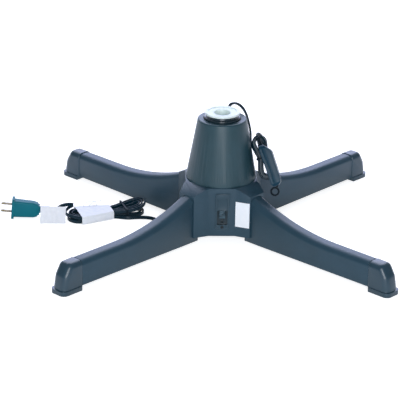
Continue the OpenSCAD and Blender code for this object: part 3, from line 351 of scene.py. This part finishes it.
def plastic(name, dark, light, roughness, grain_mm, depth_mm, ior=1.5, gloss=0.3):
    """A moulded plastic: two shades in soft clouds over a fine moulded grain."""
    material, tree, where = blank_material(name)
    cloud = noise(tree, where.outputs["Object"], 35.0, 2.0)
    grit = noise(tree, where.outputs["Object"], 1000 / grain_mm, 2.0, 0.6)
    sheen = add(tree, "ShaderNodeMapRange", {
        "Value": cloud.outputs["Fac"], "To Min": roughness - 0.05, "To Max": roughness + 0.05})
    return finished(material, two_shades(tree, cloud, dark, light), bump(tree, grit, 0.35, depth_mm), {
        "Roughness": sheen.outputs["Result"], "IOR": ior, "Specular IOR Level": gloss})


def metal(name, dark, light, roughness, scratch_mm, stretch=(1.0, 1.0, 1.0)):
    """A metal: two shades and a roughness that change along fine scratches."""
    material, tree, where = blank_material(name)
    pull = add(tree, "ShaderNodeMapping", {"Vector": where.outputs["Object"], "Scale": stretch})
    mark = noise(tree, pull.outputs["Vector"], 1000 / scratch_mm, 4.0, 0.65)
    haze = add(tree, "ShaderNodeMapRange", {
        "Value": mark.outputs["Fac"], "To Min": roughness - 0.08, "To Max": roughness + 0.08})
    return finished(material, two_shades(tree, mark, dark, light), bump(tree, mark, 0.2, 0.05), {
        "Roughness": haze.outputs["Result"], "Metallic": 1.0})


# Teal PVC from a polished mould, a little dull from handling.
teal_pvc = plastic("teal_moulded_pvc", "#01606D", "#036E7A", 0.46, 2.0, 0.05, 1.52, 0.15)
# Black-green PVC with a matt skin.
gland_pvc = plastic("matt_gland_pvc", "#06141B", "#0C1F29", 0.5, 1.6, 0.06, 1.52, 0.1)
# Brass as stamped from sheet, tarnished, with fine scratches along the blades.
stamped_brass = metal("stamped_brass", "#453C24", "#6E6139", 0.32, 1.2, (0.2, 1.0, 1.0))

soft_copy("mains_gland", "cord_gland", 0.3, gland_pvc, "stand")
plug = soft_copy("plug_body", "plug_moulding", 0.8, teal_pvc, "stand", rings=3)
boot = soft_copy("plug_relief", "plug_boot", 0.3, teal_pvc, "stand")
blades = soft_copy("plug_blades", "plug_prongs", 0.2, stamped_brass, "stand")

# ---- Tags and tie on the mains cord ----
# A bare paper tag wrapped over the hank, a bare card folded over the plug's boot that leans
# on the floor, a dark band round the hank and the grey ends of a twist tie above the tag.


def paper_sheet(name, rows, thick_mm):
    """A sheet through rows of points, given a paper's thickness."""
    mesh = bpy.data.meshes.new(name)
    wide = len(rows[0])
    points = [p for row in rows for p in row]
    faces = [(i * wide + k, i * wide + k + 1, (i + 1) * wide + k + 1, (i + 1) * wide + k)
             for i in range(len(rows) - 1) for k in range(wide - 1)]
    mesh.from_pydata(points, [], faces)
    piece = picked(placed(name, mesh))
    body = piece.modifiers.new("thickness", "SOLIDIFY")
    body.thickness = thick_mm * MM
    body.offset = 0
    bpy.ops.object.modifier_apply(modifier=body.name)
    bpy.ops.object.mode_set(mode="EDIT")
    bpy.ops.mesh.select_all(action="SELECT")
    bpy.ops.mesh.normals_make_consistent(inside=False)
    bpy.ops.object.mode_set(mode="OBJECT")
    bpy.ops.object.shade_smooth_by_angle(angle=math.radians(50))
    piece.select_set(False)
    return piece


def uncoated_paper():
    """Uncoated paper: white, quite dull, with fine fibres and soft creases 6 mm apart in its relief, and
    painted crease shade: its tint is darker in the creases' hollows.
    """
    material, tree, where = blank_material("uncoated_paper")
    fibres = noise(tree, where.outputs["Object"], 500.0, 4.0)
    creases_and_painted_shade = noise(tree, where.outputs["Object"], 160.0, 2.0)
    tooth = bump(tree, fibres, 0.15, 0.1)
    tree.links.new(bump(tree, creases_and_painted_shade, 0.5, 0.6).outputs["Normal"], tooth.inputs["Normal"])
    # The crease pattern also tints the paper: painted shade, darker where the creases dip and lighter on their
    # rises.
    return finished(material, two_shades(tree, creases_and_painted_shade, "#E9EDF2", "#FCFDFE"), tooth, {
        "Roughness": 0.8, "IOR": 1.45})


paper = uncoated_paper()
# The wrapped tag keeps its width for 8 mm, then narrows with the hank. Its waves are shallow.
wrap_from, taper_from, wrap_to = -48, -40, 8
half_wide, half_narrow = 25.3, 16.45
wrap_rows = []
for x in range(wrap_from, wrap_to + 1):
    taper = max(x - taper_from, 0) / (wrap_to - taper_from)
    half = half_wide - (half_wide - half_narrow) * taper
    side = [(-half, z) for z in (0.3, 2.5, 5, 7.5, 10.1)] + [(-half + 0.9, 12.4), (-half + 2.2, 13.1)]
    crown = [((half - 3) * k / 10, 13.3) for k in range(-10, 11)]
    profile = side + crown + [(-y, z) for y, z in reversed(side)]
    row = []
    for k, (y, z) in enumerate(profile):
        patch = 0.4 + 0.6 * math.sin(0.11 * x + 0.5 * k) ** 2
        swell = 0.25 * (1 + math.sin(0.33 * x + 0.9 * k)) * patch
        inner = 0 < k < len(profile) - 1
        out = Vector((y, (z - 6) * 1.5)).normalized() if inner else Vector((0, 0))
        row.append(on_floor((x, y + swell * out.x, z + swell * max(out.y, 0))))
    wrap_rows.append(row)
wrap_tag = fitted(paper_sheet("wrapped_tag", wrap_rows, 0.3), paper, "stand", "cord_wrap_tag")

# The card leans on the floor, bowed a little, and its strip folds over the boot.
lean, card_left, card_long, card_tall = math.radians(50), -291, 41, 31
card_steps, strip_long, strip_steps = 24, 14, 8
card_rows = []
for j in range(card_steps + 1):
    up = card_tall * j / card_steps
    row = []
    for i in range(card_long + 1):
        bow = 0.2 + 0.2 * math.sin(i * 0.68) + 0.25 * math.sin(0.21 * i + 0.12 * up)
        row.append(vec(card_left + i, 20.5 + up * math.sin(lean) - bow * math.cos(lean),
                       0.4 + up * math.cos(lean) + bow * math.sin(lean)))
    card_rows.append(row)
card = paper_sheet("leaning_card", card_rows, 0.35)
fold_rows = [[vec(card_left + strip_long * i / strip_steps, y, z) for i in range(strip_steps + 1)]
             for y, z in ((43.9, 20.1), (45.2, 20.6), (46.8, 20.2), (48.5, 19.6), (50.6, 19.2),
                          (52.4, 18.1), (53.6, 16.6))]
picked(paper_sheet("card_fold", fold_rows, 0.35))
picked(card)
bpy.ops.object.join()
card.select_set(False)
fitted(card, paper, "stand", "cord_flag_tag")
band = soft_copy("hank_tie", "hank_band", 0.25, gland_pvc, "stand")

# Grey PVC over a thin wire, with the matt skin that twisting leaves.
tie_pvc = plastic("twist_tie_pvc", "#B6BDC4", "#D3D9DE", 0.5, 0.9, 0.04)
twist = bpy.data.curves.new("twist_tie", "CURVE")
twist.dimensions = "3D"
twist.bevel_depth = 0.45 * MM
twist.bevel_resolution = 2
for points in (
        ((-34, 19, 12.8), (-32, 20, 16.5), (-27, 21, 19.5), (-19, 21, 20), (-13, 20, 17.6), (-11.5, 17, 12.8)),
        ((-26, 17, 12.9), (-22, 20, 15.4), (-15, 21, 18.4), (-8, 20, 21), (-3, 18, 20.4))):
    strand = twist.splines.new("POLY")
    bend = smooth_route([on_floor(p) for p in points], steps=6)
    strand.points.add(len(bend) - 1)
    for point, place in zip(strand.points, bend):
        point.co = (*place, 1)
picked(placed("twist_tie", twist))
bpy.ops.object.convert(target="MESH")
bpy.ops.object.mode_set(mode="EDIT")
bpy.ops.mesh.select_mode(type="VERT")
bpy.ops.mesh.select_all(action="SELECT")
bpy.ops.mesh.fill_holes(sides=0)
bpy.ops.mesh.normals_make_consistent(inside=False)
bpy.ops.object.mode_set(mode="OBJECT")
bpy.ops.object.shade_smooth_by_angle(angle=math.radians(60))
twist_tie = bpy.context.object
twist_tie.select_set(False)
twist_tie.data.materials.clear()
twist_tie.data.materials.append(tie_pvc)
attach(twist_tie, "stand")

# ---- Tap cord ----
# The same flat lead from the back of the collar over the cone's rim, put up in a short hank
# behind the tap, and in at the tap's strain relief. It turns with the tree.
tilt_x, tilt_y = math.radians(-21.75), math.radians(-21.4)
tap_turn = Matrix.Rotation(tilt_y, 4, "Y") @ Matrix.Rotation(tilt_x, 4, "X")
tap_place = Matrix.Translation(vec(77.8, -23.4, 121.4)) @ tap_turn


def by_tap(x, y, z):
    """A point of the tap's own space, x across its face and z along it, in its place."""
    return tap_place @ vec(x, y, z)


def hanging(s):
    """The hank behind the tap: its runs lie flat, and each turn shingles on the last."""
    lean, half_thick = math.radians(-4), 1.5
    z, x, rise = hank_point(s, layer_turn=1, half=30.9, waist=3.3, end=7.2,
                            d_waist=2.9, d_end=3.7, d_len=4.2, splay=0)
    shingle = half_thick * math.sqrt(2) * math.cos(math.pi * s - math.pi / 4)
    return by_tap(-9 + x * math.cos(lean) + z * math.sin(lean), 15.1 + rise + shingle,
                  16.9 - z * math.cos(lean) + x * math.sin(lean))


def steadied(thins):
    """Thin directions kept on one side from point to point and averaged, so that no stretch kinks."""
    reach = 7
    kept = [thins[0]]
    for thin in thins[1:]:
        kept.append(thin if thin.dot(kept[-1]) >= 0 else -thin)
    means = []
    for i in range(len(kept)):
        near = kept[max(i - reach, 0):i + reach + 1]
        means.append(sum(near, Vector()) / len(near))
    return means


# The hank's turns from 0.4 to 3.1; the lead comes in at the last and leaves at the first.
tap_loops = [hanging(i / per_turn) for i in range(30, 226)]
loops_in = (tap_loops[0] - tap_loops[1]).normalized()
loops_out = (tap_loops[-1] - tap_loops[-2]).normalized()
outlet_angle, collar_radius, outlet_height = math.radians(72), 0.039, 196.05
outlet_way = Vector((math.cos(outlet_angle), math.sin(outlet_angle), 0))
outlet = collar_radius * outlet_way + vec(0, 0, outlet_height)
over_rim = smooth_route(
    [outlet, outlet + 0.0025 * outlet_way]
    + [vec(*p) for p in ((14, 41, 200), (20, 39.5, 203), (27, 35.5, 202.5), (33.5, 30, 198.5),
                         (38.5, 24, 191.5), (42, 19.5, 182), (44.6, 18, 171), (46.6, 17.2, 161))]
    + [tap_loops[-1] + 0.005 * loops_out, tap_loops[-1]], steps=8)
into_tap = smooth_route(
    [tap_loops[0], tap_loops[0] + 0.006 * loops_in]
    + [by_tap(*p) for p in ((0.5, 15.5, 49.5), (-1.8, 10, 52.6), (-4.2, 4, 53), (-5.4, 0.8, 51.2),
                            (-5.6, 0, 48))], steps=8)
# Eased over the rim to just inside the hank, and from the hank's last points to the relief.
tap_route = over_rim[:-1] + tap_loops[::-1] + into_tap[1:]
tap_route = relaxed(tap_route, 0, len(over_rim) + 8, passes=24)
tap_route = relaxed(tap_route, len(over_rim) + len(tap_loops) - 10, len(tap_route), passes=24)

# The lead stands up out of the collar, lies flat down the cone and behind the tap, and turns
# on its edge into the relief.
rising = 32
away = (by_tap(0, 1, 0) - by_tap(0, 0, 0)).normalized()
sideways = (by_tap(1, 0, 0) - by_tap(0, 0, 0)).normalized()
tap_thins = []
for i, p in enumerate(tap_route):
    if i < len(over_rim) - 1:
        tap_thins.append(Vector((p.x, p.y, 0.06 if i < rising else 0.012)).normalized())
    elif i < len(over_rim) - 1 + len(tap_loops):
        tap_thins.append(away)
    else:
        tap_thins.append(sideways)
tap_cord = flat_cord("tap_lead", tap_route, steadied(tap_thins))
tap_cord.data.materials.append(cord_pvc)
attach(tap_cord, "turntable")
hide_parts("tap_cord", "tap_hank", "tap_cord_end")

# ---- Tap ----
# Outlet tap moulded in dark teal PVC with three pairs of slots, and at its foot a hanging
# ring of the cord's dark PVC. Its ribbed strain relief is moulded onto the lead.

# Glossy dark teal PVC that picks up the pale surroundings along its sides.
tap_pvc = plastic("glossy_teal_pvc", "#0A2E3F", "#103B4D", 0.38, 2.4, 0.04, 1.54, 0.15)
tap = soft_copy("outlet_tap", "tap_moulding", 0.5, tap_pvc, "turntable")
ring = soft_copy("tap_ring", "hanging_ring", 0.3, gland_pvc, "turntable")
tap_boot = soft_copy("tap_relief", "tap_boot", 0.25, gland_pvc, "turntable")
tap_band = soft_copy("tap_tie", "tap_band", 0.2, gland_pvc, "turntable")
collar_boot = soft_copy("tap_cord_relief", "collar_boot", 0.3, gland_pvc, "turntable")

# ---- Hub ----
# The hub is one ABS moulding with a spark-eroded grain: flat front, sides and back, a socket
# for each leg, and a roof that falls over the sockets.
moulded_abs = plastic("moulded_abs", "#243D4A", "#2B4655", 0.42, 1.8, 0.07)
soft_copy("base_hub", "hub_moulding", 1.6, moulded_abs, "stand", rings=3)

# ---- Bottom plate ----
# A disc of dark ABS with slots over each leg's direction, held by four zinc-plated screws.


def dress(material, *nodes):
    """Puts a material on CAD nodes that stay as they are."""
    for name in nodes:
        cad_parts[name].data.materials.clear()
        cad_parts[name].data.materials.append(material)


# Dark ABS, a little glossier than the hub.
dark_abs = plastic("dark_moulded_abs", "#13232B", "#1C2F38", 0.36, 1.8, 0.06)
# Zinc plate over steel: bright grey with a faint crystalline mottle.
zinc_plate = metal("zinc_plated_steel", "#9EA3A6", "#C6CACC", 0.34, 3.0)
soft_copy("bottom_plate", "base_plate", 0.3, dark_abs, "stand")
dress(zinc_plate, "plate_screws", "bearing_screws", "motor_screws")

# ---- Drive ----
# Inside the hub a steel plate carries the geared motor and a sintered bush. The motor's
# pinion drives a gear on the spindle, whose pivot stands on a fibre washer.

# Rolled steel: mid grey, its fine lines along Y.
rolled_steel = metal("rolled_steel", "#83888B", "#A9ADAF", 0.38, 1.5, (1.0, 0.15, 1.0))
# Ground steel, bright, with lines round it.
ground_steel = metal("ground_steel", "#B2B6B8", "#D5D8D9", 0.2, 0.8, (1.0, 1.0, 6.0))
# Sintered bronze: brown-gold, dull and porous.
sintered_bronze = metal("sintered_bronze", "#8A6A3E", "#AF8C57", 0.5, 0.7)
# Acetal: milky white, waxy, nearly without grain.
acetal = plastic("acetal", "#DDDACD", "#ECE9DE", 0.36, 2.5, 0.02, 1.48)
# Vulcanised fibre: buff, dull.
fibre = plastic("vulcanised_fibre", "#B9AD90", "#CDC2A6", 0.7, 0.8, 0.08, 1.5)
dress(rolled_steel, "bearing_plate", "gearmotor", "spindle_tube")
dress(ground_steel, "motor_shaft", "pivot_pin")
dress(sintered_bronze, "lower_bush")
dress(acetal, "upper_bush")
dress(fibre, "thrust_washer")
soft_copy("drive_gear", "spindle_gear", 0.12, acetal, "turntable", rings=1)
soft_copy("motor_pinion", "pinion_gear", 0.1, acetal, "pinion", rings=1)

# ---- Slip rings and brushes ----
# Two brass rings on a phenolic carrier feed the turning tap through two carbon brushes,
# which slide in a phenolic block.

# Turned brass: bright yellow, with the tool's lines round it.
turned_brass = metal("turned_brass", "#B08F42", "#D2B469", 0.24, 0.6, (1.0, 1.0, 5.0))
# Phenolic: dark brown, hard, slightly glossy.
phenolic = plastic("phenolic", "#33251D", "#423128", 0.4, 1.5, 0.04, 1.6)
# Carbon: nearly black, dull, with a fine grain.
carbon = plastic("carbon_brush", "#1B1C1E", "#2B2C2E", 0.55, 0.5, 0.06, 1.8)
dress(turned_brass, "slip_rings")
dress(phenolic, "slip_ring_carrier", "brush_block")
dress(carbon, "brushes")

# ---- Legs ----
# Four hollow legs moulded in the hub's ABS, each pushed up into its socket. They are open
# below, with cross ribs, and a spigot at the end takes the foot cap.


def rounded_crest(piece, radius_mm, lowest_mm, flattest):
    """Rounds the convex edges, above a height, between an upright side and a face on top of it.

    The top face's normal points up by at least flattest, and neither face looks at the hub.
    """
    bpy.ops.object.mode_set(mode="EDIT")
    bpy.ops.mesh.select_mode(type="EDGE")
    bpy.ops.mesh.select_all(action="DESELECT")
    mesh = bmesh.from_edit_mesh(piece.data)
    for edge in mesh.edges:
        if len(edge.link_faces) != 2 or not edge.is_convex or edge.calc_face_angle() < math.radians(50):
            continue
        side, crown = sorted((face.normal for face in edge.link_faces), key=lambda n: abs(n.z))
        middle = (edge.verts[0].co + edge.verts[1].co) / 2
        outward = Vector((middle.x, middle.y, 0)).normalized()
        edge.select = (middle.z > lowest_mm * MM and abs(side.z) < 0.25 and crown.z > flattest
                       and min(side.dot(outward), crown.dot(outward)) > -0.6)
    bmesh.update_edit_mesh(piece.data)
    bpy.ops.mesh.bevel(offset=radius_mm * MM, segments=4, affect="EDGES")
    bpy.ops.object.mode_set(mode="OBJECT")
    return piece


corners = ("fl", "bl", "br", "fr")
for corner in corners:
    leg = cad_copy("leg_" + corner, "leg_moulding_" + corner, weld_mm=0.08)
    leg = softened(rounded_crest(leg, 2.2, 20, 0.35), 0.5)
    fitted(leg, moulded_abs, "stand", "leg_" + corner)

# ---- Foot caps ----
# Caps of the same ABS from a polished mould, a shade glossier than the legs, with a flange
# that stands on the floor.
polished_abs = plastic("polished_abs", "#243B48", "#2B4451", 0.3, 2.2, 0.05, 1.5, 0.38)
for corner in corners:
    cap = cad_copy("foot_cap_" + corner, "cap_moulding_" + corner)
    cap = softened(rounded_crest(cap, 3.2, 12, -0.2), 0.6)
    fitted(cap, polished_abs, "stand", "foot_cap_" + corner)

# ---- Cone cover ----
# A tapered ABS cover over the spindle, rounded at its top rim, with a finer and slightly
# glossier grain than the hub.
cone_abs = plastic("fine_grained_abs", "#1F3B43", "#26454F", 0.43, 2.0, 0.05, 1.5, 0.4)
soft_copy("cone_cover", "cone_moulding", 0.4, cone_abs, "stand")

# ---- Collar and pole sleeve ----
# A glossy dark ABS collar that turns, and in it the milky polypropylene sleeve that the
# tree's pole drops into.


def natural_polypropylene():
    """Natural polypropylene: milky with a touch of green, light goes a little way into it."""
    material, tree, where = blank_material("natural_polypropylene")
    cloud = noise(tree, where.outputs["Object"], 90.0, 2.0)
    return finished(material, two_shades(tree, cloud, "#DAE9E3", "#E8F3EE"), bump(tree, cloud, 0.15, 0.3), {
        "Roughness": 0.32, "IOR": 1.49, "Subsurface Weight": 0.35,
        "Subsurface Radius": (1.0, 1.0, 1.0), "Subsurface Scale": 0.004})


# Dark ABS from a polished mould.
collar_abs = plastic("glossy_dark_abs", "#13222A", "#1A2D37", 0.22, 2.5, 0.03, 1.5, 0.4)
soft_copy("turntable_collar", "collar_moulding", 0.5, collar_abs, "turntable")
soft_copy("pole_sleeve", "sleeve_moulding", 0.4, natural_polypropylene(), "turntable")

# ---- Speed switch ----
# A raised plate on the hub's front with a window, and behind it the switch body in which a
# ridged knob slides between two positions.

# The plate's ABS is a little smoother than the hub's, the knob's a little lighter.
plate_abs = plastic("switch_abs", "#243B47", "#2B4451", 0.38, 1.8, 0.06)
knob_abs = plastic("knob_abs", "#334A56", "#3C5562", 0.4, 1.6, 0.05)
# Blackened steel: oiled and dull.
blackened_steel = metal("blackened_steel", "#23282B", "#343A3E", 0.4, 1.0)
soft_copy("switch_plate", "switch_bezel", 0.3, plate_abs, "stand")
soft_copy("switch_body", "switch_housing", 0.2, dark_abs, "stand")
soft_copy("switch_knob", "slide_knob", 0.25, knob_abs, "switch_knob")
dress(blackened_steel, "switch_screw")

# ---- Flank sticker ----
# A bare sticker of coated paper, stuck flat on the flank beside the switch, smooth and
# slightly glossy.


def coated_paper():
    """Coated paper: cool white, with the faint ripple of a sheet stuck down by hand."""
    material, tree, where = blank_material("coated_paper")
    cloud = noise(tree, where.outputs["Object"], 120.0, 2.0)
    return finished(material, two_shades(tree, cloud, "#F0F6FB", "#FBFDFF"), bump(tree, cloud, 0.2, 0.3), {
        "Roughness": 0.45, "IOR": 1.48})


dress(coated_paper(), "flank_sticker")

# ---- Floor and light ----
# A pale sweep, white where the camera, a gloss or glass sees it, that keeps a faint shadow.
# One soft lamp in front, a cool one high behind and a bluer one that skims the crests.


def of_two(tree, operation, a, b):
    """One operation on two sockets or values, as a socket."""
    return add(tree, "ShaderNodeMath", {0: a, 1: b}, operation=operation).outputs[0]


def soft_lamp(name, place, size, power, colour):
    """A rectangular soft lamp that looks at the hub."""
    data = bpy.data.lights.new(name, "AREA")
    data.shape = "RECTANGLE"
    data.size, data.size_y = size
    data.energy = power
    data.color = linear(colour)[:3]
    lamp = placed(name, data)
    aim = Vector((0, 0, 0.09)) - Vector(place)
    lamp.matrix_world = Matrix.Translation(place) @ aim.to_track_quat("-Z", "Y").to_matrix().to_4x4()
    lamp.visible_camera = False


bpy.ops.mesh.primitive_plane_add(size=14)
floor = bpy.context.object
floor.name = "floor"
pale, tree, _ = blank_material("pale_floor")
rays = add(tree, "ShaderNodeLightPath").outputs
seen = of_two(tree, "MAXIMUM", rays["Is Camera Ray"], rays["Is Glossy Ray"])
seen = of_two(tree, "MAXIMUM", seen, rays["Is Transmission Ray"])
matt = add(tree, "ShaderNodeBsdfDiffuse", {"Color": linear("#E8EAEC")})
glow = add(tree, "ShaderNodeEmission", {"Color": linear("#FFFFFF"), "Strength": 0.76})
lit = add(tree, "ShaderNodeAddShader", {0: matt.outputs[0], 1: glow.outputs[0]})
both = add(tree, "ShaderNodeMixShader", {0: seen, 1: matt.outputs[0], 2: lit.outputs[0]})
add(tree, "ShaderNodeOutputMaterial", {"Surface": both.outputs[0]})
floor.data.materials.append(pale)

# The camera sees white air. A gloss sees the white backdrop behind the stand, and the dim room
# on the camera's side.
room_light, dim_room = 0.16, 0.22
world = bpy.data.worlds.new("studio")
bpy.context.scene.world = world
world.use_nodes = True
tree = world.node_tree
tree.nodes.clear()
rays = add(tree, "ShaderNodeLightPath").outputs
seen = of_two(tree, "MAXIMUM", rays["Is Camera Ray"], rays["Is Transmission Ray"])
around = add(tree, "ShaderNodeTexCoord")
axes = add(tree, "ShaderNodeSeparateXYZ", {"Vector": around.outputs["Generated"]})
back = add(tree, "ShaderNodeMapRange", {
    "Value": axes.outputs["Y"], "From Min": 0.3, "From Max": 0.85, "To Min": dim_room, "To Max": 1.0},
    interpolation_type="SMOOTHSTEP")
gloss = of_two(tree, "MULTIPLY", rays["Is Glossy Ray"], back.outputs["Result"])
strength = of_two(tree, "MAXIMUM", of_two(tree, "MAXIMUM", seen, gloss), room_light)
air = add(tree, "ShaderNodeBackground", {"Color": linear("#FFFFFF"), "Strength": strength})
add(tree, "ShaderNodeOutputWorld", {"Surface": air.outputs[0]})

soft_lamp("front_lamp", (-0.1, -3.3, 1.1), (1.5, 1.6), 88, "#F4F8FF")
soft_lamp("high_lamp", (-0.15, 1.9, 2.4), (3.2, 2.0), 84, "#DDE4FF")
soft_lamp("skim_lamp", (0.1, 3.2, 1.35), (3.6, 1.3), 50, "#BCC7FF")
